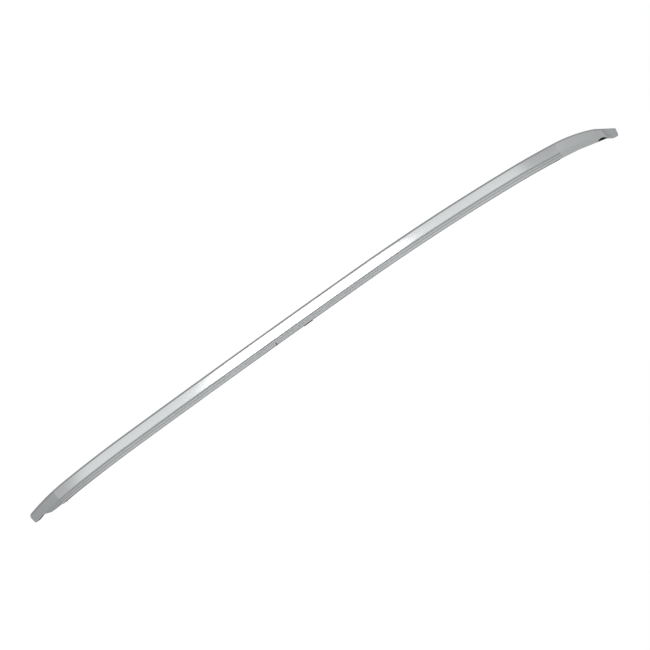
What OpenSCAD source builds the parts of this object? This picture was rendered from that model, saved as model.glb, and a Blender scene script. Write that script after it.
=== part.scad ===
// Roof side rail of a passenger car: a bent aluminium extrusion with a cast cap at each end.
// Fixing blocks sit in a channel under the rail and take screws from inside the roof.
// +X points forwards, +Y towards the middle of the car and +Z up, as the rail is fitted.
// The origin is on the underside at the crown of the arch, where the arch lies level.
// A station is a length along the underside from the origin, positive forwards.

/* [Bend] */
// Radius of the underside at the crown of the arch
crown_r = 6200; // [5000:100:8000]
// Angle of the crown arc behind the origin
crown_rear_turn = 1.7; // [1.5:0.1:2.0]
// Angle of the crown arc ahead of the origin
crown_front_turn = 2.6; // [2.3:0.1:2.8]
// Radius of the long flat arc behind the crown
long_r = 38000; // [30000:1000:45000]
// Angle of the long flat arc
long_turn = 1.1; // [1.0:0.1:1.2]
// Radius of the arc that leads into the rear end
rear_lead_r = 3600; // [3000:100:4200]
// Angle of the arc that leads into the rear end
rear_lead_turn = 3.1; // [2.6:0.1:3.4]
// Radius of the rear end
rear_end_r = 580; // [500:10:700]
// Radius of the arc that leads into the front end
front_lead_r = 2300; // [2000:100:2600]
// Angle of the arc that leads into the front end
front_lead_turn = 3.4; // [3.0:0.1:3.8]
// Radius of the front end
front_end_r = 330; // [300:10:400]
// Length of the rear cap's arc past the end of the rear lead
rear_end_len = 121; // [112:1:135]
// Length of the front end's arc, which is all cap
front_end_len = 156.5; // [146:0.5:170]
// Lean of the bending plane from upright, which bows the rail outwards in plan
bow_lean = 20; // [10:1:28]

/* [Section] */
// Height of the section
section_h = 43.5; // [42:0.5:50]
// Half width of the base, on each side of its middle
base_half_w = 17.5; // [17:0.5:20]
// Thickness of the chamber's wall
wall = 2.4; // [1.8:0.1:2.8]
// Radius of the outer top edge
top_edge_r = 6; // [4:0.5:7]
// Radius of the inner top edge
inner_edge_r = 8; // [6:0.5:9]
// Radius at the foot of the outer face and of the inner face
foot_r = 3.2; // [3:0.1:3.6]
// Distance that the outer face leans in towards its top
face_lean = 3.9; // [2:0.1:5]
// Distance that the foot of the outer face stands out from the land below it
foot_proud = 0.3; // [0:0.1:0.6]
// Distance that the inner face is set back from the base's side
inner_setback = 2; // [1.5:0.1:2.5]
// Fall of the top face towards the car
top_fall = 2; // [1:0.5:3]
// Height of the middle of the land between the two fine grooves
land_y = 9.8; // [9.4:0.1:10.4]
// Distance between the middles of the fine grooves
groove_pitch = 5.7; // [5.2:0.1:6]
// Width of a fine groove
groove_w = 2; // [1.4:0.1:2.4]
// Depth of a fine groove
groove_depth = 1.5; // [0.8:0.1:1.8]
// Height of the clamp groove on the inner side
clamp_h = 4.6; // [4:0.2:5]
// Depth of the clamp groove from the base's inner side
clamp_depth = 4.5; // [3.5:0.1:4.8]
// Radius at the corners of the base
base_corner_r = 0.8; // [0.4:0.1:1]

/* [Channel] */
// Width of the channel inside
channel_w = 20; // [18:0.5:21]
// Thickness of the channel's lips
lip_t = 3; // [2.4:0.2:4]
// Width of the slot between the lips
slot_w = 11; // [11:0.5:13]
// Thickness of the web between the channel and the chamber
web_t = 2.6; // [2:0.2:4]
// Width of the drain notch in the outer side of the base
notch_w = 3; // [2:0.5:5]
// Height of the drain notch
notch_h = 5.4; // [4:0.1:5.6]
// Depth of the drain notch
notch_depth = 1.2; // [0.6:0.1:1.6]
// Distance of the drain notch behind the centre fixing
notch_back = 98; // [60:1:160]

/* [Fixings] */
// Distance of the rear fixing from the rear joint, along the underside
rear_fixing_inset = 64.3; // [50:0.1:80]
// Distance of the front fixing from the front joint, along the underside
front_fixing_inset = 57.8; // [45:0.1:75]
// Length of a fixing block
block_len = 44; // [36:2:60]
// Gap between a fixing block and the channel
block_gap = 0.3; // [0.2:0.05:0.5]
// Outer diameter of the threaded insert
insert_d = 9; // [8:0.5:10]
// Diameter of the insert's thread bore, for a 6 mm screw
thread_d = 5; // [4.2:0.1:6.8]
// Diameter of the insert's collar, which stands in the slot
collar_d = 10.6; // [10.2:0.1:10.8]
// Length of a gasket
gasket_len = 46; // [36:2:70]
// Width of a gasket
gasket_w = 25; // [20:1:26]
// Clear hole through a gasket
gasket_hole_d = 8; // [7:0.5:10]

/* [Seals] */
// Thickness of the seals and gaskets under the base
seal_t = 0.6; // [0.4:0.1:1.5]
// Width of a seal's lip
seal_w = 3.6; // [3:0.1:4]
// Width of the rib that holds a seal in its groove
rib_w = 1.8; // [1.4:0.1:2.2]
// Height of the rib
rib_h = 1.9; // [1.4:0.1:2.2]
// Gap between a rib and its groove
rib_gap = 0.1; // [0.05:0.05:0.2]
// Distance of a seal's middle from the base's side
seal_inset = 2.2; // [2.1:0.1:2.4]
// Length of the pad that takes the outer seal's place at the centre fixing
pad_len = 27; // [20:1:40]
// Distance that the centre pad stands below the seals
pad_drop = 1.6; // [0.5:0.1:2]
// Gap between the centre pad and the ends of the outer seals
pad_gap = 0.5; // [0.3:0.1:1]

/* [Rear cap] */
// Length of the rear cap along the underside
rear_cap_len = 85; // [80:1:90]
// Length of the rear tongue
rear_tongue_len = 30; // [25:1:36]
// Height of the rear tongue's underside over the base line at the tip
rear_tongue_y = 16.5; // [12:0.1:18]
// Distance from the tip to the foot of the rear step
rear_foot_x = 50; // [44:1:58]
// Height of the foot of the rear step over the base line at the tip
rear_foot_y = 3.2; // [1:0.1:5]
// Distance that the cap's lower edge stays above the rail's at the joint
rear_joint_rise = 1.6; // [0.5:0.1:3]
// Distance that the rear tip leans forwards over its height
rear_tip_lean = 1.5; // [0:0.5:6]
// Radius of the rear tip's upper corner
rear_tip_r = 10; // [6:0.5:12]
// Radius of each corner of the rear step
rear_step_r = 5; // [3:0.5:6]

/* [Front cap] */
// Length of the straight toe, along the underside
toe_len = 58; // [50:1:64]
// Angle by which the toe turns down from the end of the bend
toe_turn = 8.2; // [5:0.2:10]
// Height of the front tongue's underside over the base line at the tip
front_tongue_y = 16.7; // [14:0.1:19]
// Distance from the tip to the bend in the front cap's lower edge
front_bend_x = 23.5; // [20:0.5:28]
// Radius of that bend
front_bend_r = 12; // [6:1:20]
// Distance from the tip to the second bend in the lower edge
front_taper_x = 100.5; // [90:0.5:110]
// Height of the second bend over the base line there
front_taper_rise = 4.1; // [2:0.1:6]
// Distance that the cap's lower edge stays above the rail's at the joint
front_joint_rise = 2; // [1:0.1:3]
// Distance that the front tip leans back over the height of the section
front_tip_lean = 9.6; // [6:0.2:12]
// Distance from the tip to the middle of the arched cut in the skirt
arch_at = 42; // [39:1:45]
// Half length of the arched cut
arch_half = 13; // [10:0.5:14]
// Height of the arched cut
arch_rise = 5; // [3:0.1:6]
// Distance that the pocket behind the arched cut reaches past it at each end
arch_margin = 4; // [2:0.5:5]
// Depth by which the toe's outer face is set in
toe_depth = 3.5; // [2:0.1:4]
// Width of the slope that leads down to the toe's crease
scoop_w = 26; // [18:1:34]
// Angle between the crease and the base line at the tip
crease_slope = 46; // [36:1:56]
// Distance of the crease from the tip, at the middle of the face
crease_x = 31; // [26:1:36]

/* [Caps] */
// Length of the spigot that joins a cap to the rail
spigot_len = 18; // [16:1:22]
// Gap between a spigot and the chamber
spigot_gap = 0.4; // [0.35:0.05:0.6]
// Diameter of a cap screw
screw_d = 4; // [3.5:0.1:5]
// Diameter of a cap screw's head
screw_head_d = 8; // [7:0.5:9]
// Height of a cap screw's head
screw_head_h = 2.8; // [2:0.2:4]
// Length of a cap screw under its head
screw_len = 12; // [8:1:16]
// Clearance around a cap screw, over its diameter
screw_clear = 0.2; // [0.1:0.05:0.4]
// Depth of the pocket under a tongue
pocket_depth = 4; // [3:0.5:5]
// Thickness of the skirt around a pocket
skirt_t = 6; // [5.5:0.5:7]
// Radius of a pocket's corners
pocket_corner_r = 2; // [1:0.5:3]
// Radius of each tip's lower corner
tip_low_r = 5; // [3:0.5:7]
// Gap around a pad in its pocket
pocket_gap = 0.3; // [0.2:0.1:0.5]
// Distance that a pad stands below its tongue
pad_proud = 0.1; // [0:0.1:0.8]

/* [Hidden] */
$fn = 48;

// Largest gap between the true arc and a straight piece of the long sweeps
chord_gap = 0.05;
// Facets that a full turn of a cap's arc would have
arc_facets = 240;
// Straight steps in each rounded edge of the section, at a corner of the base and at a corner in a side view
arc_steps = 4;
base_steps = 2;
corner_steps = 8;
// Points of the section at its two widest places, the same in the outline as in the chamber
chamber_cuts = [arc_steps, 3 * (arc_steps + 1)];
// Gap between the underside and the seals and gaskets, as its straight pieces dip below the true arc
seat_gap = 0.05;
// Reach of cutters that pass right through a piece, and of those that end just past a face
through = 60;
overcut = 1;
// Number of fixings behind the one at the crown
fixings_behind = 3;
degree = 180 / PI;

rear_arcs = [
    [crown_r, crown_rear_turn], [long_r, long_turn], [rear_lead_r, rear_lead_turn],
    [rear_end_r, rear_end_len / rear_end_r * degree]
];
front_arcs = [
    [crown_r, crown_front_turn], [front_lead_r, front_lead_turn],
    [front_end_r, front_end_len / front_end_r * degree]
];

// Angle turned, and length run, before arc i
function turn_before(arcs, i) = i == 0 ? 0 : turn_before(arcs, i - 1) + arcs[i - 1][1];
function len_before(arcs, i) = i == 0 ? 0
    : len_before(arcs, i - 1) + arcs[i - 1][0] * arcs[i - 1][1] / degree;
function heading(turn) = [sin(turn), cos(turn)];
// Centre of arc i in the bending plane
function centre(arcs, i) = i == 0 ? [0, -arcs[0][0]]
    : centre(arcs, i - 1) + (arcs[i - 1][0] - arcs[i][0]) * heading(turn_before(arcs, i));
function last(arcs) = len(arcs) - 1;
function arc_at(arcs, d, i = 0) = i == last(arcs) || d <= len_before(arcs, i + 1) ? i
    : arc_at(arcs, d, i + 1);
function turn_at(arcs, i, d) = turn_before(arcs, i) + (d - len_before(arcs, i)) / arcs[i][0] * degree;

rear_len = len_before(rear_arcs, len(rear_arcs));
front_len = len_before(front_arcs, len(front_arcs));
rear_joint = -rear_len + rear_cap_len;
front_joint = front_len - front_end_len;

// Stations of the fixings, from the rear
fixing_pitch = (-rear_joint - rear_fixing_inset) / fixings_behind;
fixing_at = concat([for (k = [-fixings_behind : 0]) k * fixing_pitch], [front_joint - front_fixing_inset]);
centre_at = fixing_at[2];

// Place in space of the section's point p, at a station
function in_space(station, p) = let (
    arcs = station < 0 ? rear_arcs : front_arcs,
    i = arc_at(arcs, abs(station)),
    rise = p[1] * cos(bow_lean) - p[0] * sin(bow_lean),
    across = p[0] * cos(bow_lean) + p[1] * sin(bow_lean),
    at = centre(arcs, i) + (arcs[i][0] + rise) * heading(turn_at(arcs, i, abs(station)))
) [
    station < 0 ? -at[0] : at[0],
    across * cos(bow_lean) - at[1] * sin(bow_lean),
    across * sin(bow_lean) + at[1] * cos(bow_lean)
];

// Stations between two distances on one side of the origin, close enough for the arcs there
function stops(arcs, from, to) = [
    for (i = [0 : last(arcs)])
        let (
            low = max(from, len_before(arcs, i)),
            high = i == last(arcs) ? to : min(to, len_before(arcs, i + 1)),
            n = ceil((high - low) / sqrt(8 * arcs[i][0] * chord_gap))
        )
            if (high - low > chord_gap) for (k = [1 : n]) low + (high - low) * k / n
];
function turned_round(list) = [for (k = [len(list) - 1 : -1 : 0]) -list[k]];
function stations(from, to) = concat(
    turned_round(stops(rear_arcs, max(-to, 0), -from)),
    [from < 0 ? min(to, 0) : from],
    stops(front_arcs, max(from, 0), to)
);

// Sweeps an outline, listed anticlockwise as seen from the front, along the chain of arcs.
// The faces that close its ends are lists of its points, followed by those of a hole in it.
module long_sweep(outline, from, to, ends, hole = []) {
    rings = stations(from, to);
    n = len(outline);
    m = len(hole);
    middle = in_space((from + to) / 2, [0, 0]);
    translate(middle) polyhedron(
        points = [for (s = rings) for (p = concat(outline, hole)) in_space(s, p) - middle],
        faces = concat(
            ends,
            [for (face = ends) [for (k = [len(face) - 1 : -1 : 0]) (len(rings) - 1) * (n + m) + face[k]]],
            [for (k = [0 : len(rings) - 2]) each wall_faces(k * (n + m), n, n + m, false)],
            [for (k = [0 : len(rings) - 2]) each wall_faces(k * (n + m) + n, m, n + m, true)]
        ),
        convexity = 8
    );
}
// Two faces that close an outline of n points around a hole of m points, split at both cuts,
// where the points of the outline and of the hole are in step
function split_ends(n, m, cuts) = [
    concat([for (j = [cuts[0] : cuts[1]]) j], [for (j = [cuts[1] : -1 : cuts[0]]) n + j]),
    concat(
        [for (j = [cuts[1] : n - 1]) j], [for (j = [0 : cuts[0]]) j],
        [for (j = [cuts[0] : -1 : 0]) n + j], [for (j = [m - 1 : -1 : cuts[1]]) n + j]
    )
];
// Two triangles for each side of a loop of n points, between one ring and the next
function wall_faces(first, n, ring, inwards) = n == 0 ? [] : [
    for (j = [0 : n - 1])
        let (a = first + j, b = first + (j + 1) % n)
            each inwards ? [[a, b + ring, a + ring], [a, b, b + ring]]
                : [[a, a + ring, b + ring], [a, b + ring, b]]
];

// Turns a section about the axis of the one arc that holds both stations.
module arc_sweep(from, to) {
    rear = to <= 0;
    arcs = rear ? rear_arcs : front_arcs;
    i = arc_at(arcs, abs(from + to) / 2);
    start = turn_at(arcs, i, rear ? -to : from);
    turn = (to - from) / arcs[i][0] * degree;
    middle = centre(arcs, i);
    rotate([90 + bow_lean, 0, 0]) translate([rear ? -middle[0] : middle[0], middle[1], 0])
        rotate_extrude(angle = turn, start = rear ? 90 + start : 90 - start - turn, $fn = arc_facets)
            translate([arcs[i][0], 0]) rotate(-90 - bow_lean) children();
}

// Puts what is drawn at the origin at a station, level with the underside there.
module place(station) {
    side = station < 0 ? -1 : 1;
    arcs = station < 0 ? rear_arcs : front_arcs;
    i = arc_at(arcs, abs(station));
    turn = turn_at(arcs, i, abs(station));
    at = centre(arcs, i) + arcs[i][0] * heading(turn);
    rotate([90 + bow_lean, 0, 0]) translate([side * at[0], at[1], 0]) rotate(-side * turn)
        rotate([-90 - bow_lean, 0, 0]) children();
}

// Points of an arc, and of an outline whose corners [x, y, r] are rounded
function arc_points(c, r, a0, a1, n = arc_steps) = [
    for (k = [0 : n]) let (a = a0 + (a1 - a0) * k / n) [c[0] + r * cos(a), c[1] + r * sin(a)]
];
function unit(v) = v / norm(v);
function corner(a, b, c, r) = let (
    u = unit(a - b),
    v = unit(c - b),
    half = acos(u * v) / 2,
    mid = b + unit(u + v) * r / sin(half),
    p = b + u * r / tan(half) - mid,
    q = b + v * r / tan(half) - mid,
    from = atan2(p[1], p[0]),
    turn = (atan2(q[1], q[0]) - from + 540) % 360 - 180
) arc_points(mid, r, from, from + turn, corner_steps);
function xy(p) = [p[0], p[1]];
function rounded(points) = let (n = len(points)) [
    for (k = [0 : n - 1])
        let (p = points[k])
            each p[2] == 0 ? [xy(p)]
                : corner(xy(points[(k + n - 1) % n]), xy(p), xy(points[(k + 1) % n]), p[2])
];

// Heights and depths of the section's features
groove_low_y = land_y - groove_pitch / 2;
groove_high_y = land_y + groove_pitch / 2;
groove_x = -base_half_w + groove_depth;
head_y = groove_high_y + groove_w / 2;
face_x = -base_half_w - foot_proud;
inner_x = base_half_w - inner_setback;
clamp_x = base_half_w - clamp_depth;
chamber_low_y = head_y + wall;
channel_top = chamber_low_y - web_t;
seal_x = base_half_w - seal_inset;

// The head's four edges as circles [centre, radius]
outer_foot = [[face_x + foot_r, head_y + foot_r], foot_r];
inner_foot = [[inner_x - foot_r, head_y + foot_r], foot_r];
inner_edge = [[inner_x - inner_edge_r, section_h - top_fall - inner_edge_r], inner_edge_r];
outer_edge = [[face_x + face_lean + top_edge_r, section_h - top_edge_r], top_edge_r];

// Direction in which the straight side from circle a to circle b faces
function facing(a, b) = let (d = b[0] - a[0]) atan2(d[1], d[0]) - 90 + asin((a[1] - b[1]) / norm(d));
top_facing = facing(inner_edge, outer_edge);
outer_facing = facing(outer_edge, outer_foot) + 360;
function edge(circle, from, to, inset = 0) = arc_points(circle[0], circle[1] - inset, from, to);

function top_of_head() = concat(edge(inner_edge, 0, top_facing), edge(outer_edge, top_facing, outer_facing));
// Angle on a foot's arc at which it reaches the floor of the groove beside it
outer_foot_end = 360 - acos((groove_x - outer_foot[0][0]) / foot_r);
inner_foot_start = -acos((clamp_x - inner_foot[0][0]) / foot_r);

function seal_groove(side) = let (half = rib_w / 2 + rib_gap) [
    [side * seal_x - half, 0], [side * seal_x - half, rib_h + rib_gap],
    [side * seal_x + half, rib_h + rib_gap], [side * seal_x + half, 0]
];
function base_corner(x, from) = let (c = [x - sign(x) * base_corner_r, base_corner_r])
    arc_points(c, base_corner_r, from, from + 90, base_steps);

rail_outline = concat(
    edge(inner_foot, inner_foot_start, 0),
    top_of_head(),
    edge(outer_foot, outer_facing, outer_foot_end),
    [
        [groove_x, groove_high_y - groove_w / 2], [-base_half_w, groove_high_y - groove_w / 2],
        [-base_half_w, groove_low_y + groove_w / 2], [groove_x, groove_low_y + groove_w / 2],
        [groove_x, groove_low_y - groove_w / 2], [-base_half_w, groove_low_y - groove_w / 2]
    ],
    base_corner(-base_half_w, 180),
    seal_groove(-1),
    [
        [-slot_w / 2, 0], [-slot_w / 2, lip_t], [-channel_w / 2, lip_t], [-channel_w / 2, channel_top],
        [channel_w / 2, channel_top], [channel_w / 2, lip_t], [slot_w / 2, lip_t], [slot_w / 2, 0]
    ],
    seal_groove(1),
    base_corner(base_half_w, 270),
    [[base_half_w, head_y - clamp_h], [clamp_x, head_y - clamp_h]]
);

function chamber_outline(inset) = concat(
    edge(inner_foot, -90, 0, inset),
    edge(inner_edge, 0, top_facing, inset),
    edge(outer_edge, top_facing, outer_facing, inset),
    edge(outer_foot, outer_facing, 270, inset)
);

cap_outline = concat(
    base_corner(inner_x, 270),
    top_of_head(),
    edge(outer_foot, outer_facing, 180),
    base_corner(face_x, 180)
);

module rail_profile() {
    chamber = chamber_outline(wall);
    color("silver") difference() {
        long_sweep(
            rail_outline, rear_joint, front_joint,
            split_ends(len(rail_outline), len(chamber), chamber_cuts), chamber
        );
        place(centre_at - notch_back) translate([0, -base_half_w + notch_depth, 0])
            rotate([90, 0, 0]) notch();
        place(rear_joint + spigot_len / 2) screw_hole();
        place(front_joint - spigot_len / 2) screw_hole();
    }
}

module notch() {
    linear_extrude(through) union() {
        translate([-notch_w / 2, -seal_t]) square([notch_w, notch_h + seal_t - notch_w / 2]);
        translate([0, notch_h - notch_w / 2]) circle(notch_w / 2);
    }
}

module screw_hole() {
    translate([0, 0, channel_top - overcut]) cylinder(d = screw_d + screw_clear, h = screw_len + 2 * overcut);
}

// Side views of the caps, x from the tip towards the rail and y up from the underside at the tip
function below(r, turn) = r * [sin(turn), cos(turn) - 1];
module rear_cap_side() {
    joint = below(rear_end_r, rear_cap_len / rear_end_r * degree) + [0, rear_joint_rise];
    polygon(rounded([
        [0, rear_tongue_y, tip_low_r],
        [rear_tongue_len, rear_tongue_y, rear_step_r],
        [rear_foot_x, rear_foot_y, rear_step_r],
        [joint[0], joint[1], 0],
        [joint[0] + through, joint[1], 0],
        [joint[0] + through, section_h + through, 0],
        [rear_tip_lean + 2 * rear_tip_r, section_h + through, 0],
        [rear_tip_lean + 2 * rear_tip_r, section_h, 0],
        [rear_tip_lean, section_h, rear_tip_r]
    ]));
}

module front_cap_side() {
    joint = below(front_end_r, front_end_len / front_end_r * degree) + [0, front_joint_rise];
    taper = below(front_end_r, asin(front_taper_x / front_end_r)) + [0, front_taper_rise];
    polygon(rounded([
        [0, front_tongue_y, tip_low_r],
        [front_bend_x, front_tongue_y, front_bend_r],
        [taper[0], taper[1], 0],
        [joint[0], joint[1], 0],
        [joint[0] + through, joint[1], 0],
        [joint[0] + through, section_h + through, 0],
        [front_tip_lean, section_h + through, 0],
        [front_tip_lean, section_h, 0]
    ]));
}

// Stands a side view up and gives it the width of the section.
module across() {
    rotate([90, 0, 0]) linear_extrude(2 * through, center = true) children();
}

// Space under a tongue between two distances from the tip, less a gap all round
module pocket(from, to, roof_y, gap) {
    low = face_x + skirt_t + gap;
    high = inner_x - skirt_t - gap;
    translate([0, 0, roof_y - through]) linear_extrude(through)
        polygon(rounded([
            [from + gap, low, pocket_corner_r], [to - gap, low, pocket_corner_r],
            [to - gap, high, pocket_corner_r], [from + gap, high, pocket_corner_r]
        ]));
}
module rear_pocket(gap) {
    pocket(skirt_t, rear_tongue_len, rear_tongue_y + pocket_depth, gap);
}
module front_pocket(gap) {
    reach = arch_half + arch_margin;
    pocket(arch_at - reach, arch_at + reach, front_tongue_y + pocket_depth, gap);
}

// Joins a cap to the chamber; it points along x from the joint.
module spigot() {
    rotate([90, 0, 90]) translate([0, 0, -skirt_t])
        linear_extrude(spigot_len + skirt_t) polygon(chamber_outline(wall + spigot_gap));
}

module rear_end_cap() {
    color("silver") difference() {
        union() {
            intersection() {
                arc_sweep(-rear_len, rear_joint) polygon(cap_outline);
                place(-rear_len) across() rear_cap_side();
            }
            place(rear_joint) spigot();
        }
        place(-rear_len) rear_pocket(0);
        place(rear_joint + spigot_len / 2) screw_hole();
    }
}

module front_end_cap() {
    color("silver") difference() {
        union() {
            intersection() {
                union() {
                    arc_sweep(front_joint, front_len - toe_len) polygon(cap_outline);
                    place(front_len - toe_len) straight_toe();
                }
                place(front_len) mirror([1, 0, 0]) across() front_cap_side();
            }
            place(front_joint) mirror([1, 0, 0]) spigot();
        }
        place(front_len) mirror([1, 0, 0]) {
            front_pocket(0);
            skirt_arch();
            toe_flat();
        }
        place(front_joint - spigot_len / 2) screw_hole();
    }
}

// Carries the section on in a straight line, turned down about its top edge.
module straight_toe() {
    translate([0, 0, section_h]) rotate([0, toe_turn, 0]) translate([0, 0, -section_h])
        rotate([90, 0, 90]) linear_extrude(toe_len + through) polygon(cap_outline);
}

// Arch through the skirt's outer wall that shows the pad behind it
module skirt_arch() {
    arch_r = (arch_half * arch_half + arch_rise * arch_rise) / (2 * arch_rise);
    taper_y = below(front_end_r, asin(front_taper_x / front_end_r))[1] + front_taper_rise;
    slope = (front_tongue_y - taper_y) / (front_taper_x - front_bend_x);
    edge_y = front_tongue_y - (arch_at - front_bend_x) * slope;
    translate([arch_at, face_x + skirt_t, edge_y + arch_rise - arch_r])
        rotate([90, 0, 0]) cylinder(r = arch_r, h = through);
}

// Sets in the toe's outer face, with a slope that leads down to a slanted crease.
module toe_flat() {
    face_mid_y = (section_h + front_tongue_y) / 2;
    lean = atan(face_lean / (outer_edge[0][1] - outer_foot[0][1]));
    translate([crease_x, face_x + face_lean / 2, face_mid_y]) rotate([-lean, 0, 0])
        rotate([0, 90 - crease_slope, 0]) linear_extrude(2 * through, center = true)
            polygon([
                [-through, -through], [scoop_w, -through], [scoop_w, 0], [0, toe_depth],
                [-through, toe_depth]
            ]);
}

// Pan head screw, its head against the channel's roof
module cap_screw() {
    translate([0, 0, channel_top - screw_head_h]) difference() {
        union() {
            cylinder(d = screw_head_d, h = screw_head_h);
            cylinder(d = screw_d, h = screw_head_h + screw_len);
        }
        translate([0, 0, -overcut]) cylinder(d = screw_head_d / 2, h = overcut + screw_head_h / 2, $fn = 6);
    }
}
module rear_cap_screw() {
    color("dimgray") place(rear_joint + spigot_len / 2) cap_screw();
}
module front_cap_screw() {
    color("dimgray") place(front_joint - spigot_len / 2) cap_screw();
}

module rear_end_pad() {
    color("black") place(-rear_len) intersection() {
        rear_pocket(pocket_gap);
        translate([0, 0, -pad_proud]) across() rear_cap_side();
    }
}
module front_end_pad() {
    color("black") place(front_len) mirror([1, 0, 0]) intersection() {
        front_pocket(pocket_gap);
        translate([0, 0, -pad_proud]) across() front_cap_side();
    }
}

// Lip under the base with a rib that stands in its groove
function seal_outline(side, drop = 0) = let (x = side * seal_x, half = rib_w / 2) [
    [x - seal_w / 2, -seal_t - drop], [x + seal_w / 2, -seal_t - drop], [x + seal_w / 2, -seat_gap],
    [x + half, -seat_gap], [x + half, rib_h], [x - half, rib_h], [x - half, -seat_gap],
    [x - seal_w / 2, -seat_gap]
];
// Triangles that close the end of a seal, numbered like its outline
seal_ends = [[0, 1, 2], [0, 2, 3], [0, 3, 6], [0, 6, 7], [3, 4, 5], [3, 5, 6]];

module outer_seal_rear() {
    color("black") long_sweep(seal_outline(-1), rear_joint, centre_at - pad_len / 2 - pad_gap, seal_ends);
}
module outer_seal_front() {
    color("black") long_sweep(seal_outline(-1), centre_at + pad_len / 2 + pad_gap, front_joint, seal_ends);
}
module inner_seal() {
    color("black") long_sweep(seal_outline(1), rear_joint, front_joint, seal_ends);
}
module centre_pad() {
    color("black") arc_sweep(centre_at - pad_len / 2, centre_at + pad_len / 2)
        polygon(seal_outline(-1, pad_drop));
}

// Sweeps a section over a length that lies evenly around a station.
module around(station, length) {
    if (abs(station) < length / 2) {
        arc_sweep(station - length / 2, 0) children();
        arc_sweep(0, station + length / 2) children();
    } else {
        arc_sweep(station - length / 2, station + length / 2) children();
    }
}

module fixing_block(station) {
    color("gray") difference() {
        around(station, block_len) translate([-channel_w / 2 + block_gap, lip_t])
            square([channel_w - 2 * block_gap, channel_top - lip_t - block_gap]);
        place(station) cylinder(d = insert_d, h = through);
    }
}
module insert(station) {
    color("goldenrod") place(station) difference() {
        union() {
            cylinder(d = collar_d, h = lip_t);
            cylinder(d = insert_d, h = channel_top - block_gap);
        }
        translate([0, 0, -overcut]) cylinder(d = thread_d, h = channel_top + 2 * overcut);
    }
}
module gasket(station) {
    color("black") difference() {
        around(station, gasket_len) translate([-gasket_w / 2, -seal_t])
            square([gasket_w, seal_t - seat_gap]);
        place(station) translate([0, 0, -through / 2]) cylinder(d = gasket_hole_d, h = through);
    }
}

rail_profile();
rear_end_cap();
front_end_cap();
rear_cap_screw();
front_cap_screw();
rear_end_pad();
front_end_pad();
outer_seal_rear();
outer_seal_front();
inner_seal();
centre_pad();
fixing_block(fixing_at[0]);  // block_rear
fixing_block(fixing_at[1]);  // block_mid_rear
fixing_block(fixing_at[2]);  // block_centre
fixing_block(fixing_at[3]);  // block_crown
fixing_block(fixing_at[4]);  // block_front
insert(fixing_at[0]);  // insert_rear
insert(fixing_at[1]);  // insert_mid_rear
insert(fixing_at[2]);  // insert_centre
insert(fixing_at[3]);  // insert_crown
insert(fixing_at[4]);  // insert_front
gasket(fixing_at[0]);  // gasket_rear
gasket(fixing_at[1]);  // gasket_mid_rear
gasket(fixing_at[2]);  // gasket_centre
gasket(fixing_at[3]);  // gasket_crown
gasket(fixing_at[4]);  // gasket_front
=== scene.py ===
import math
import bmesh
import bpy
from mathutils import Matrix, Vector


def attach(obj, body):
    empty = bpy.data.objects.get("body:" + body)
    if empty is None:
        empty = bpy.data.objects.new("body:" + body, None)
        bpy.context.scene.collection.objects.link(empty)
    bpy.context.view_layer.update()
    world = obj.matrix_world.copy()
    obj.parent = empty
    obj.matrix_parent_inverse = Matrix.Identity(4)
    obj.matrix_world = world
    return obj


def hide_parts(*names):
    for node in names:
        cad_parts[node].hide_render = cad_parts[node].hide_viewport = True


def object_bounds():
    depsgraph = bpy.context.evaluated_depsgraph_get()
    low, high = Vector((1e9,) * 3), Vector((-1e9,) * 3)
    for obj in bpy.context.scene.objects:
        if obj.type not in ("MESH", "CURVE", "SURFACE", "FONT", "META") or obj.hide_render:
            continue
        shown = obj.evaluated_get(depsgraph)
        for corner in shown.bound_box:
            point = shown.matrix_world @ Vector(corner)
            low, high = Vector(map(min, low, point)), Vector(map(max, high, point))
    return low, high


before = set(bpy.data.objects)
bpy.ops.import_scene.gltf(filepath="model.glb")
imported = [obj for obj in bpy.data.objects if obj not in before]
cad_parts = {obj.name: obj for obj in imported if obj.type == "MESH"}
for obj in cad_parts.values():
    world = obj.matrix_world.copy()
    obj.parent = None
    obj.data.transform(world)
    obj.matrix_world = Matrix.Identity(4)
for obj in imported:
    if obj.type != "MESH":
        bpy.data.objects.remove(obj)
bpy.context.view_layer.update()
print("frame loaded")

mm = 0.001


# A screen colour in hex as linear values
def hexColour(text):
    values = [int(text[i:i + 2], 16) / 255 for i in (1, 3, 5)]
    return tuple(v / 12.92 if v <= 0.04045 else ((v + 0.055) / 1.055) ** 2.4 for v in values) + (1.0,)


def addNode(tree, kind, settings=None, links=None):
    node = tree.nodes.new(kind)
    for name, value in (settings or {}).items():
        if name in node.inputs:
            node.inputs[name].default_value = value
        else:
            setattr(node, name, value)
    for name, source in (links or {}).items():
        tree.links.new(source, node.inputs[name])
    return node


# A maths node whose inputs are numbers or the outputs of other nodes
def addMath(tree, operation, *inputs):
    node = addNode(tree, "ShaderNodeMath", {"operation": operation})
    for socket, given in zip(node.inputs, inputs):
        if isinstance(given, (int, float)):
            socket.default_value = given
        else:
            tree.links.new(given, socket)
    return node.outputs[0]


def newMaterial(name):
    material = bpy.data.materials.new(name)
    material.use_nodes = True
    material.node_tree.nodes.clear()
    return material, material.node_tree


def meshObject(name, points, edges=(), faces=()):
    mesh = bpy.data.meshes.new(name)
    mesh.from_pydata([tuple(p) for p in points], edges, faces)
    piece = bpy.data.objects.new(name, mesh)
    bpy.context.scene.collection.objects.link(piece)
    return piece


# Radius and length in mm of an arc that turns through an angle in degrees
def turning(radius, degrees):
    return radius, math.radians(degrees) * radius


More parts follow.
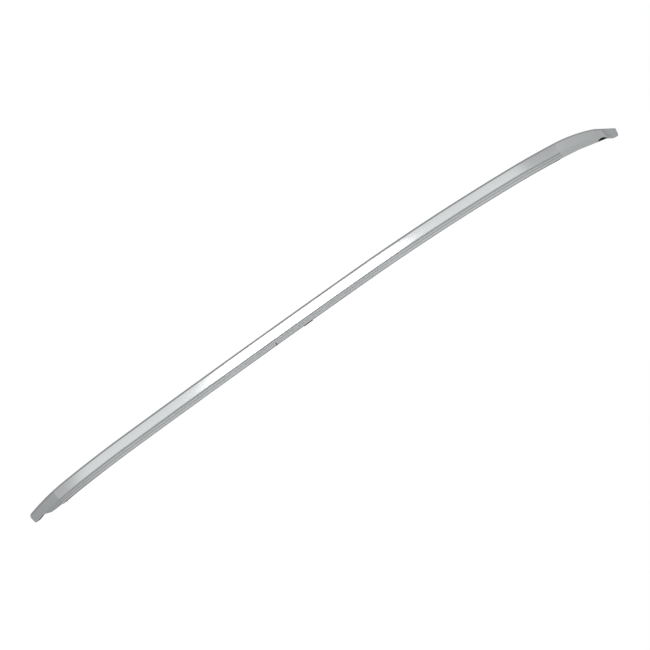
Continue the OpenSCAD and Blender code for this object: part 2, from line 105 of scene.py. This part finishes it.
# The rail's line: arcs (radius, length) in mm away from the crown, in a plane that leans outwards
railLine = {
    "lean": 20.0,  # degrees
    "rear": [turning(6200, 1.7), turning(38000, 1.1), turning(3600, 3.1), (580, 121)],
    "front": [turning(6200, 2.6), turning(2300, 3.4), (330, 156.5)],
    "rearCap": 85,  # length of line that each end cap takes
    "frontCap": 156.5,
}
rearLength = sum(length for radius, length in railLine["rear"])
frontLength = sum(length for radius, length in railLine["front"])
rearJoint = -rearLength + railLine["rearCap"]
frontJoint = frontLength - railLine["frontCap"]
lean = math.radians(railLine["lean"])
planeNormal = Vector((0, math.cos(lean), math.sin(lean)))
planeUp = Vector((0, -math.sin(lean), math.cos(lean)))


# Point on the underside in mm at a distance from the crown, then the directions forwards, inboard and up
def stationFrame(station):
    side = -1 if station < 0 else 1
    arcs = railLine["rear"] if station < 0 else railLine["front"]
    left, turn, at = abs(station), 0.0, Vector((0.0, 0.0))
    for radius, length in arcs:
        step = min(left, length) if (radius, length) != arcs[-1] else left  # the last arc runs on
        angle = step / radius
        centre = at - radius * Vector((math.sin(turn), math.cos(turn)))
        turn += angle
        at = centre + radius * Vector((math.sin(turn), math.cos(turn)))
        left -= step
        if left <= 0:
            break
    spin = Matrix.Rotation(side * turn, 3, planeNormal)
    point = Vector((side * at[0], 0, 0)) + at[1] * planeUp
    return point, spin @ Vector((1, 0, 0)), spin @ Vector((0, 1, 0)), spin @ Vector((0, 0, 1))


# Point in metres, x inboard and y up from the underside in mm
def onRail(station, x, y):
    point, forwards, inboard, up = stationFrame(station)
    return (point + x * inboard + y * up) * mm


# The rail's section, x inboard and y up from the underside, in mm
section = {
    "height": 43.5, "baseHalf": 17.5,
    "topEdge": 6, "innerEdge": 8, "foot": 0.8, "innerFoot": 3.2, "baseEdge": 0.4,  # radii
    "bend": 2.4, "bendY": 16.85,  # radius and height of the bend under the leaning face
    "faceLean": 3.9, "footProud": 0.3, "innerSetback": 2, "topFall": 2,
    "landY": 9.8, "landMargin": 0.3,  # the land's flat shading ends this far above the base's edge
    "groovePitch": 5.7, "grooveWidth": 2, "grooveDepth": 1.5,
    "grooveLean": 0.5,  # the grooves' floors look slightly down
    "clampHeight": 4.6, "clampDepth": 4.5, "slot": 11, "lip": 3, "channel": 20, "channelTop": 13.45,
    "steps": 10, "bendSteps": 3, "baseEdgeSteps": 8,  # straight steps in each rounded edge
    "edgeBreak": 0.15,  # radius on the extrusion's small corners
}


# Points on an arc, from one angle in degrees to another
def arcPoints(centre, radius, start, end, steps):
    return [(centre[0] + radius * math.cos(math.radians(start + (end - start) * k / steps)),
             centre[1] + radius * math.sin(math.radians(start + (end - start) * k / steps)))
            for k in range(steps + 1)]


# Angle of the normal to the line that touches two circles (centre, radius)
def facing(a, b):
    dx, dy = b[0][0] - a[0][0], b[0][1] - a[0][1]
    return math.degrees(math.atan2(dy, dx) + math.asin((a[1] - b[1]) / math.hypot(dx, dy))) - 90


# Rounds each sharp corner of a closed outline with three points
def breakCorners(points, size):
    softTurn = math.radians(35)  # smaller turns belong to an arc and stay
    longestReach = 0.45  # share of the shorter side
    result = []
    for k, here in enumerate(points):
        a, p, b = Vector(points[k - 1]), Vector(here), Vector(points[(k + 1) % len(points)])
        u, v = a - p, b - p
        turn = abs(u.angle(v) - math.pi)
        if turn < softTurn:
            result.append(tuple(p))
            continue
        reach = min(size, u.length * longestReach, v.length * longestReach)
        first, last = p + u.normalized() * reach, p + v.normalized() * reach
        middle = (first + last) * 0.25 + p * 0.5
        result += [tuple(first), tuple(middle), tuple(last)]
    return result


def railOutline(s):
    n = s["steps"]
    high = s["landY"] + s["groovePitch"] / 2
    low = s["landY"] - s["groovePitch"] / 2
    half = s["grooveWidth"] / 2
    head = high + half
    faceX, innerX = -s["baseHalf"] - s["footProud"], s["baseHalf"] - s["innerSetback"]
    grooveX, clampX = -s["baseHalf"] + s["grooveDepth"], s["baseHalf"] - s["clampDepth"]
    outerFoot = ((faceX + s["foot"], head + s["foot"]), s["foot"])
    innerFoot = ((innerX - s["innerFoot"], head + s["innerFoot"]), s["innerFoot"])
    innerEdge = ((innerX - s["innerEdge"], s["height"] - s["topFall"] - s["innerEdge"]), s["innerEdge"])
    outerEdge = ((faceX + s["faceLean"] + s["topEdge"], s["height"] - s["topEdge"]), s["topEdge"])
    top = facing(innerEdge, outerEdge)
    bend = ((faceX + s["bend"], s["bendY"]), s["bend"])
    outer = facing(outerEdge, bend) + 360  # one turn on, so that the arcs run on in one sense
    innerStart = -math.degrees(math.acos((clampX - innerFoot[0][0]) / s["innerFoot"]))
    base, slot, lip, channel = s["baseHalf"], s["slot"] / 2, s["lip"], s["channel"] / 2
    points = arcPoints(*innerFoot, innerStart, 0, n)
    points += arcPoints(*innerEdge, 0, top, n) + arcPoints(*outerEdge, top, outer, n)
    points += arcPoints(*bend, outer, 180, s["bendSteps"]) + arcPoints(*outerFoot, 180, 270, n)
    deep = grooveX + s["grooveLean"]
    points += [(grooveX, head), (deep, high - half), (-base, high - half), (-base, low + half),
               (grooveX, low + half), (deep, low - half), (-base, low - half),
               (-base, s["baseEdge"] + s["landMargin"])]
    edge, edgeSteps = s["baseEdge"], s["baseEdgeSteps"]
    points += arcPoints((-base + edge, edge), edge, 180, 270, edgeSteps)
    points += [(-slot, 0), (-slot, lip), (-channel, lip), (-channel, s["channelTop"]),
               (channel, s["channelTop"]), (channel, lip), (slot, lip), (slot, 0)]
    points += arcPoints((base - edge, edge), edge, 270, 360, edgeSteps)
    points += [(base, head - s["clampHeight"]), (clampX, head - s["clampHeight"])]
    return breakCorners(points, s["edgeBreak"])


# Geometry Nodes: a section swept along the rail's line, with a UV map in metres
def sweepTree():
    tree = bpy.data.node_groups.new("sweepAlongRail", "GeometryNodeTree")
    for name, kind in (("Geometry", "Geometry"), ("Section", "Object"), ("Tilt", "Float"),
                       ("Sharp Angle", "Float"), ("Material", "Material")):
        tree.interface.new_socket(name, in_out="INPUT", socket_type="NodeSocket" + kind)
    tree.interface.new_socket("Geometry", in_out="OUTPUT", socket_type="NodeSocketGeometry")
    given = addNode(tree, "NodeGroupInput").outputs
    path = addNode(tree, "GeometryNodeMeshToCurve", links={"Mesh": given["Geometry"]})
    tilted = addNode(tree, "GeometryNodeSetCurveTilt", links={"Curve": path.outputs[0], "Tilt": given["Tilt"]})
    shape = addNode(tree, "GeometryNodeObjectInfo", {"transform_space": "ORIGINAL"}, {"Object": given["Section"]})
    profile = addNode(tree, "GeometryNodeMeshToCurve", links={"Mesh": shape.outputs["Geometry"]})
    lengths = []
    for curve in (tilted, profile):
        along = addNode(tree, "GeometryNodeSplineParameter")
        kept = addNode(tree, "GeometryNodeCaptureAttribute")
        kept.capture_items.new("FLOAT", "Length")
        tree.links.new(curve.outputs[0], kept.inputs["Geometry"])
        tree.links.new(along.outputs["Length"], kept.inputs["Length"])
        lengths.append(kept)
    swept = addNode(tree, "GeometryNodeCurveToMesh", {"Fill Caps": True},
                    {"Curve": lengths[0].outputs["Geometry"], "Profile Curve": lengths[1].outputs["Geometry"]})
    uv = addNode(tree, "ShaderNodeCombineXYZ",
                 links={"X": lengths[0].outputs["Length"], "Y": lengths[1].outputs["Length"]})
    stored = addNode(tree, "GeometryNodeStoreNamedAttribute",
                     {"data_type": "FLOAT2", "domain": "CORNER", "Name": "UVMap"},
                     {"Geometry": swept.outputs[0], "Value": uv.outputs[0]})
    smooth = addNode(tree, "GeometryNodeSetShadeSmooth", {"domain": "FACE", "Shade Smooth": True},
                     {"Geometry": stored.outputs[0]})
    angle = addNode(tree, "GeometryNodeInputMeshEdgeAngle")
    sharp = addNode(tree, "FunctionNodeCompare", {"operation": "GREATER_THAN"},
                    {"A": angle.outputs["Unsigned Angle"], "B": given["Sharp Angle"]})
    edged = addNode(tree, "GeometryNodeSetShadeSmooth", {"domain": "EDGE", "Shade Smooth": False},
                    {"Geometry": smooth.outputs[0], "Selection": sharp.outputs[0]})
    real = addNode(tree, "GeometryNodeRealizeInstances", links={"Geometry": edged.outputs[0]})
    painted = addNode(tree, "GeometryNodeSetMaterial",
                      links={"Geometry": real.outputs[0], "Material": given["Material"]})
    addNode(tree, "NodeGroupOutput", links={"Geometry": painted.outputs[0]})
    return tree


# Sets a Geometry Nodes input by its name
def setInput(modifier, name, value):
    for item in modifier.node_group.interface.items_tree:
        if item.in_out == "INPUT" and item.name == name:
            modifier[item.identifier] = value


# Turns the evaluated object into a plain mesh and drops its modifiers
def plainMesh(piece, name):
    bpy.context.view_layer.update()
    evaluated = piece.evaluated_get(bpy.context.evaluated_depsgraph_get())
    mesh = bpy.data.meshes.new_from_object(evaluated, preserve_all_data_layers=True,
                                           depsgraph=bpy.context.evaluated_depsgraph_get())
    piece.modifiers.clear()
    piece.data = mesh
    mesh.name = name
    return piece


railSweep = sweepTree()

# How the rail is swept: distances between stations in mm, and the angle in degrees from which an edge is sharp
sweep = {"step": 9.0, "tightStep": 1.5, "squareStep": 0.1, "lastGap": 0.6, "sharp": 16}


# Stations close together in the rear's tight bend, and a short first and last step that keep the ends square
def pathStations(start, end):
    square = sweep["squareStep"]
    stations = [start, start + square]
    tight = -rearLength + railLine["rear"][-1][1]
    while stations[-1] < end - square:
        stations.append(stations[-1] + sweep["tightStep" if stations[-1] < tight else "step"])
    while stations[-1] > end - sweep["lastGap"]:
        stations.pop()
    return stations + [end - square, end]


def sweepOnRail(name, outline, start, end, material):
    stations = pathStations(start, end)
    points = [onRail(s, 0, 0) for s in stations]
    piece = meshObject(name, points, [(k, k + 1) for k in range(len(points) - 1)])
    shape = meshObject(name + "Section", [(x * mm, y * mm, 0) for x, y in outline],
                       [(k, (k + 1) % len(outline)) for k in range(len(outline))])
    tangent = (points[1] - points[0]).normalized()
    given = Vector((tangent[1], -tangent[0], 0)).normalized()  # the normal that a curve starts with
    wanted = stationFrame(start)[2]
    tilt = math.atan2(tangent.dot(given.cross(wanted)), given.dot(wanted))
    modifier = piece.modifiers.new("sweep", "NODES")
    modifier.node_group = railSweep
    for key, value in (("Section", shape), ("Tilt", tilt), ("Sharp Angle", math.radians(sweep["sharp"])),
                       ("Material", material)):
        setInput(modifier, key, value)
    plainMesh(piece, name)
    bpy.data.objects.remove(shape)
    away = max(min((v.co - onRail(end, *p)).length for v in piece.data.vertices) for p in outline[::9])
    print(name, "swept, end off by mm", round(away / mm, 3))
    return piece


# Ends a material's nodes with the shader and its output
def finishMaterial(material, colour, metallic, rough, bump):
    tree = material.node_tree
    shader = addNode(tree, "ShaderNodeBsdfPrincipled", {"Base Color": hexColour(colour), "Metallic": metallic},
                     {"Roughness": rough.outputs[0], "Normal": bump.outputs[0]})
    addNode(tree, "ShaderNodeOutputMaterial", links={"Surface": shader.outputs[0]})
    return material


# Extruded, satin etched and clear anodised: even soft gloss with faint die lines along its length
def satinAnodisedAluminium():
    look = {"colour": "#C8CBCC", "roughness": 0.11, "lineShare": 0.005,
            "dieLine": 1.6, "dieLineChange": 0.6,  # width in mm, and changes per metre of length
            "grain": 0.35, "grainDepth": 0.03, "bump": 0.01}  # mm, mm, strength
    material, tree = newMaterial("satinAnodisedAluminium")
    uv = addNode(tree, "ShaderNodeUVMap", {"uv_map": "UVMap"})
    lines = addNode(tree, "ShaderNodeMapping", {"Scale": (look["dieLineChange"], 1000 / look["dieLine"], 1)},
                    {"Vector": uv.outputs[0]})
    dieLines = addNode(tree, "ShaderNodeTexNoise", {"Scale": 1.0, "Detail": 3.0, "Roughness": 0.6},
                       {"Vector": lines.outputs[0]})
    place = addNode(tree, "ShaderNodeTexCoord")
    etch = addNode(tree, "ShaderNodeTexNoise", {"Scale": 1000 / look["grain"], "Detail": 2.0},
                   {"Vector": place.outputs["Object"]})  # etched grain
    low, high = look["roughness"] - look["lineShare"], look["roughness"] + look["lineShare"]
    rough = addNode(tree, "ShaderNodeMapRange", {"To Min": low, "To Max": high}, {"Value": dieLines.outputs["Fac"]})
    bump = addNode(tree, "ShaderNodeBump", {"Strength": look["bump"], "Distance": look["grainDepth"] * mm},
                   {"Height": etch.outputs["Fac"]})
    return finishMaterial(material, look["colour"], 1.0, rough, bump)


# Die-cast cap, ground and sprayed with fine metallic silver: a little softer than the rail
def silverLacquer(name, colour):
    look = {"roughness": (0.26, 0.31), "peel": 1.2, "peelDepth": 0.05, "bump": 0.04, "flake": 0.25}
    material, tree = newMaterial(name)
    place = addNode(tree, "ShaderNodeTexCoord")
    peel = addNode(tree, "ShaderNodeTexNoise", {"Scale": 1000 / look["peel"], "Detail": 1.0},
                   {"Vector": place.outputs["Object"]})  # orange peel of the spray, in mm
    flake = addNode(tree, "ShaderNodeTexVoronoi", {"Scale": 1000 / look["flake"]},
                    {"Vector": place.outputs["Object"]})
    rough = addNode(tree, "ShaderNodeMapRange", {"To Min": look["roughness"][0], "To Max": look["roughness"][1]},
                    {"Value": flake.outputs["Distance"]})
    bump = addNode(tree, "ShaderNodeBump", {"Strength": look["bump"], "Distance": look["peelDepth"] * mm},
                   {"Height": peel.outputs["Fac"]})
    return finishMaterial(material, colour, 1.0, rough, bump)


# A colour with a fine grain of the given size and depth in mm, which also varies its gloss
def grainedMaterial(name, colour, roughness, metallic, grain, depth):
    spread, strength = 0.08, 0.3
    material, tree = newMaterial(name)
    place = addNode(tree, "ShaderNodeTexCoord")
    noise = addNode(tree, "ShaderNodeTexNoise", {"Scale": 1000 / grain, "Detail": 3.0},
                    {"Vector": place.outputs["Object"]})
    rough = addNode(tree, "ShaderNodeMapRange", {"To Min": roughness - spread, "To Max": roughness + spread},
                    {"Value": noise.outputs["Fac"]})
    bump = addNode(tree, "ShaderNodeBump", {"Strength": strength, "Distance": depth * mm},
                   {"Height": noise.outputs["Fac"]})
    return finishMaterial(material, colour, metallic, rough, bump)


railFinish = satinAnodisedAluminium()
capFinish = silverLacquer("silverLacquerOnDieCasting", "#C9CCCD")
rearCapFinish = silverLacquer("darkerSilverLacquerOnDieCasting", "#B2B5B6")  # a shade darker than the front cap's lacquer
# Name, colour, roughness, metallic share, grain and its depth in mm
sealRubber = grainedMaterial("extrudedSealRubber", "#37383A", 0.55, 0.0, 0.6, 0.03)  # soft black, slight bloom
padRubber = grainedMaterial("mouldedPadRubber", "#141516", 0.7, 0.0, 0.8, 0.04)  # matt black, moulded
blockPlastic = grainedMaterial("glassFilledNylon", "#2A2B2E", 0.5, 0.0, 0.8, 0.04)
insertBrass = grainedMaterial("turnedBrass", "#C8A45A", 0.28, 1.0, 0.4, 0.01)
gasketFoam = grainedMaterial("closedCellFoam", "#26272A", 0.85, 0.0, 0.9, 0.15)
screwZinc = grainedMaterial("zincPlatedSteel", "#B4B7BA", 0.35, 1.0, 0.5, 0.01)
print("materials made")

# The extruded rail
rail = sweepOnRail("railSkin", railOutline(section), rearJoint, frontJoint, railFinish)

# The drain notch in the outer side of the base, in mm: depth at its top, and slope by which it deepens downwards
notch = {"station": -457.99, "width": 3, "height": 5.4, "depth": 0.6, "slope": 1.0, "steps": 12}


def cutNotch(piece):
    over = 2  # how far the cutter stands out of the base
    half = notch["width"] / 2
    outline = arcPoints((0, notch["height"] - half), half, 0, 180, notch["steps"])
    outline = [(half, -over)] + outline + [(-half, -over)]
    point, forwards, inboard, up = stationFrame(notch["station"])
    outside = [-section["baseHalf"] - over] * len(outline)
    inside = [-section["baseHalf"] + notch["depth"] + notch["slope"] * (notch["height"] - rise)
              for along, rise in outline]
    points = [(point + along * forwards + depth * inboard + rise * up) * mm
              for depths in (outside, inside) for (along, rise), depth in zip(outline, depths)]
    n = len(outline)
    sides = [(k, (k + 1) % n, n + (k + 1) % n, n + k) for k in range(n)]
    cutter = meshObject("notchCutter", points, faces=[tuple(range(n))[::-1], tuple(range(n, 2 * n))] + sides)
    shell = bmesh.new()
    shell.from_mesh(cutter.data)
    bmesh.ops.recalc_face_normals(shell, faces=shell.faces)
    shell.to_mesh(cutter.data)
    shell.free()
    cut = piece.modifiers.new("notch", "BOOLEAN")
    cut.operation, cut.solver, cut.object = "DIFFERENCE", "EXACT", cutter
    plainMesh(piece, piece.name)
    bpy.data.objects.remove(cutter)


cutNotch(rail)
print("drain notch cut")
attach(rail, "root")
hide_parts("rail_profile")

# Finishes of the CAD nodes that stay
finishes = {
    "rear_end_cap": rearCapFinish, "front_end_cap": capFinish,
    "rear_cap_screw": screwZinc, "front_cap_screw": screwZinc,
    "rear_end_pad": padRubber, "front_end_pad": padRubber,
    "outer_seal_rear": sealRubber, "outer_seal_front": sealRubber, "inner_seal": sealRubber,
    "centre_pad": padRubber,
}
for place in ("rear", "mid_rear", "centre", "crown", "front"):
    finishes["block_" + place] = blockPlastic
    finishes["insert_" + place] = insertBrass
    finishes["gasket_" + place] = gasketFoam
for node, finish in finishes.items():
    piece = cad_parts[node]
    piece.data.materials.clear()
    piece.data.materials.append(finish)
print("finishes set")

# Camera: level with the rail, seen square to its outer face and rolled as in the photograph
view = {"middle": Vector((-0.3278, 0.022, -0.0367)), "span": 1.6835,  # what it looks at and the width seen, m
        "lens": 85.0, "sensor": 36, "right": Vector((0.8334, 0, -0.5527)), "farthest": 60}
camera = bpy.data.objects.new("camera", bpy.data.cameras.new("camera"))
bpy.context.scene.collection.objects.link(camera)
camera.data.lens = view["lens"]
camera.data.sensor_width = view["sensor"]
reach = view["span"] * view["lens"] / view["sensor"]
back = Vector((0, -1, 0))
up = back.cross(view["right"])
turn = Matrix((view["right"], up, back)).transposed().to_4x4()
camera.matrix_world = Matrix.Translation(view["middle"] + back * reach) @ turn
camera.data.clip_end = view["farthest"]
bpy.context.scene.camera = camera
print("camera set")

# White paper floor just under the rail, which glows a little so that the picture's ground stays white
sheet = {"half": 9, "gap": 0.0003, "white": 0.86, "glow": 1.3, "seenShare": 0.7, "mirroredShare": 0.12}
low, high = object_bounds()
half = sheet["half"]
floor = meshObject("floor", [(x, y, low[2] - sheet["gap"])
                             for x, y in ((-half, -half), (half, -half), (half, half), (-half, half))],
                   faces=[(0, 1, 2, 3)])
paper, tree = newMaterial("whitePaperFloor")
rays = addNode(tree, "ShaderNodeLightPath")
matt = addNode(tree, "ShaderNodeBsdfDiffuse", {"Color": (sheet["white"],) * 3 + (1,)})
glow = addNode(tree, "ShaderNodeEmission", {"Color": (1, 1, 1, 1), "Strength": sheet["glow"]})
mirrored = addMath(tree, "MULTIPLY", rays.outputs["Is Glossy Ray"], sheet["mirroredShare"])
share = addMath(tree, "MULTIPLY_ADD", rays.outputs["Is Camera Ray"], sheet["seenShare"], mirrored)
both = addNode(tree, "ShaderNodeMixShader")
for socket, source in zip(both.inputs, (share, matt.outputs[0], glow.outputs[0])):
    tree.links.new(source, socket)
addNode(tree, "ShaderNodeOutputMaterial", links={"Surface": both.outputs[0]})
floor.data.materials.append(paper)

# Softboxes: place, width and height in metres, power in watts; each looks at the rail straight before it
softboxes = {
    "keySoftbox": {"at": (-0.443, -2.9, 1.1), "size": (1.1, 0.5), "power": 9},
    "wideSoftbox": {"at": (-0.5, -3.2, 1.25), "size": (3.2, 0.9), "power": 4},
    "rearFillSoftbox": {"at": (-1.34, -3.4, 0.05), "size": (1.0, 0.7), "power": 0.3},
    "middleFillSoftbox": {"at": (-0.42, -3.4, 0.05), "size": (0.84, 0.7), "power": 0.05},
    "frontFillSoftbox": {"at": (0.575, -3.4, 0.05), "size": (1.15, 0.7), "power": 0.345},
    "backSoftbox": {"at": (-0.3, 3.0, 1.3), "size": (2.4, 0.6), "power": 5},
}
for name, box in softboxes.items():
    light = bpy.data.lights.new(name, "AREA")
    light.shape = "RECTANGLE"
    light.size, light.size_y = box["size"]
    light.energy = box["power"]
    lamp = bpy.data.objects.new(name, light)
    bpy.context.scene.collection.objects.link(lamp)
    lamp.location = box["at"]
    ahead = Vector((box["at"][0], 0, 0)) - Vector(box["at"])
    lamp.rotation_euler = ahead.to_track_quat("-Z", "Y").to_euler()
    lamp.visible_camera = False

# Surround: bright at the horizon, darker overhead and beyond the front end, and white where the camera sees it
studio = {"surround": 0.72, "ceiling": 0.42, "rise": (0.35, 0.85), "farSide": 0.66, "side": (0.56, 0.78)}
world = bpy.data.worlds.new("studio")
bpy.context.scene.world = world
world.use_nodes = True
tree = world.node_tree
tree.nodes.clear()
rays = addNode(tree, "ShaderNodeLightPath")
place = addNode(tree, "ShaderNodeTexCoord")
direction = addNode(tree, "ShaderNodeSeparateXYZ", links={"Vector": place.outputs["Generated"]})
ramp = addNode(tree, "ShaderNodeMapRange",
               {"From Min": studio["rise"][0], "From Max": studio["rise"][1],
                "To Min": studio["surround"], "To Max": studio["ceiling"]}, {"Value": direction.outputs["Z"]})
farSide = addNode(tree, "ShaderNodeMapRange",
                  {"From Min": studio["side"][0], "From Max": studio["side"][1],
                   "To Min": 1.0, "To Max": studio["farSide"]}, {"Value": direction.outputs["X"]})
dimmed = addMath(tree, "MULTIPLY", ramp.outputs[0], farSide.outputs[0])
shown = addNode(tree, "ShaderNodeMix", {"data_type": "FLOAT"})
tree.links.new(rays.outputs["Is Camera Ray"], shown.inputs[0])
tree.links.new(dimmed, shown.inputs[2])
shown.inputs[3].default_value = 1.0
background = addNode(tree, "ShaderNodeBackground", {"Color": (1, 1, 1, 1)}, {"Strength": shown.outputs[0]})
addNode(tree, "ShaderNodeOutputWorld", links={"Surface": background.outputs[0]})
bpy.context.scene.view_settings.view_transform = "Standard"
print("studio ready")
